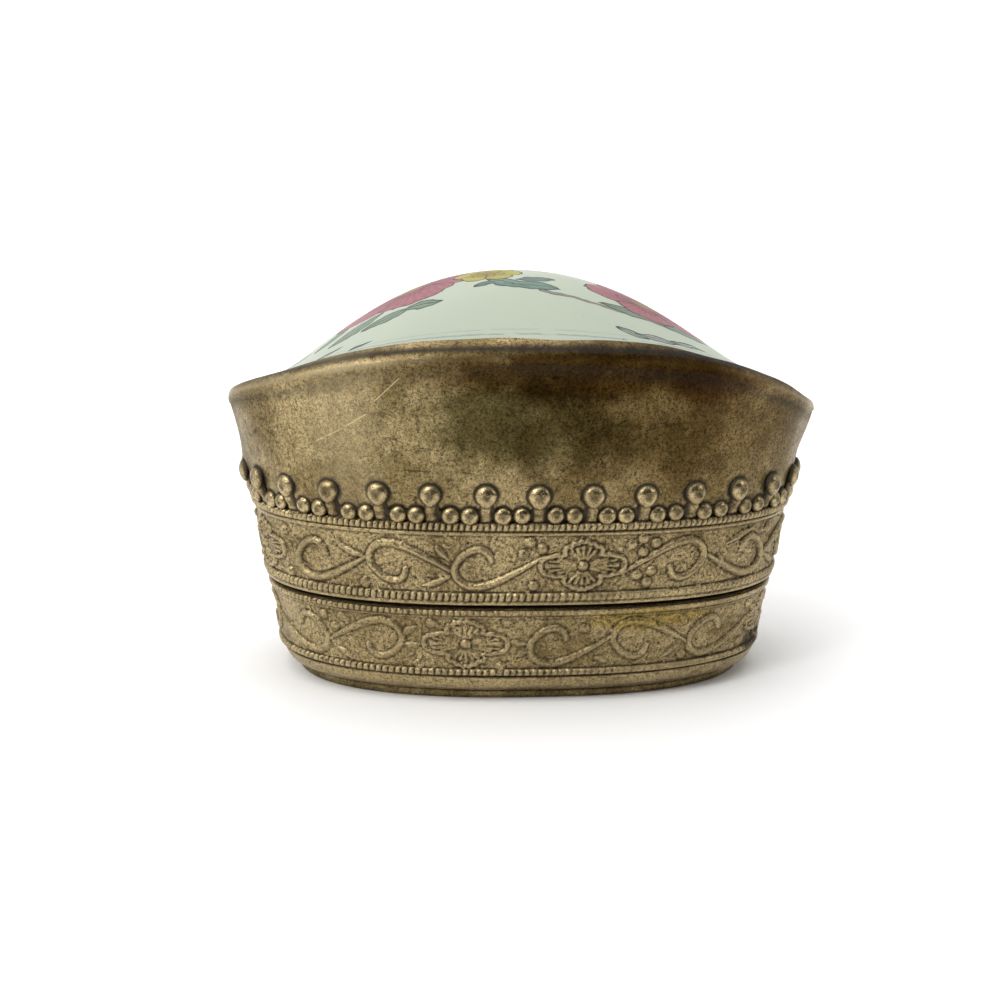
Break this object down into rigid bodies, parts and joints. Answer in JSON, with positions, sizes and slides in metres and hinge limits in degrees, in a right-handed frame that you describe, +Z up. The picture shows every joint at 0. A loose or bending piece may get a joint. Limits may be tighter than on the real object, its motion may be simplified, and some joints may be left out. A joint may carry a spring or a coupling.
{
  "type": "oval lidded trinket box",
  "caption": "Small oval metal box with a lift-off lid set with a curved painted porcelain panel, stamped scroll bands and a bead fringe.",
  "frame": {"origin": "middle of the underside of the bottom plate", "axes": "+Z up through the lid, +X along the box's length, front towards -Y"},
  "size_m": [0.07, 0.0494, 0.0478],
  "materials": {
    "base_metal": "tarnished silvery white metal, worn and slightly mottled",
    "lid_metal": "tarnished silvery white metal, soft worn polish",
    "stamped_metal": "stamped silvery white metal with dark patina in the recesses",
    "painted_porcelain": "glossy pale celadon glaze with a painted flower spray"
  },
  "bodies": {
    "root": {"base_plate": "base_metal", "base_wall": "base_metal", "base_band": "stamped_metal", "lid_frame": "lid_metal", "lid_band": "stamped_metal", "porcelain_panel": "painted_porcelain"}
  },
  "joints": []
}
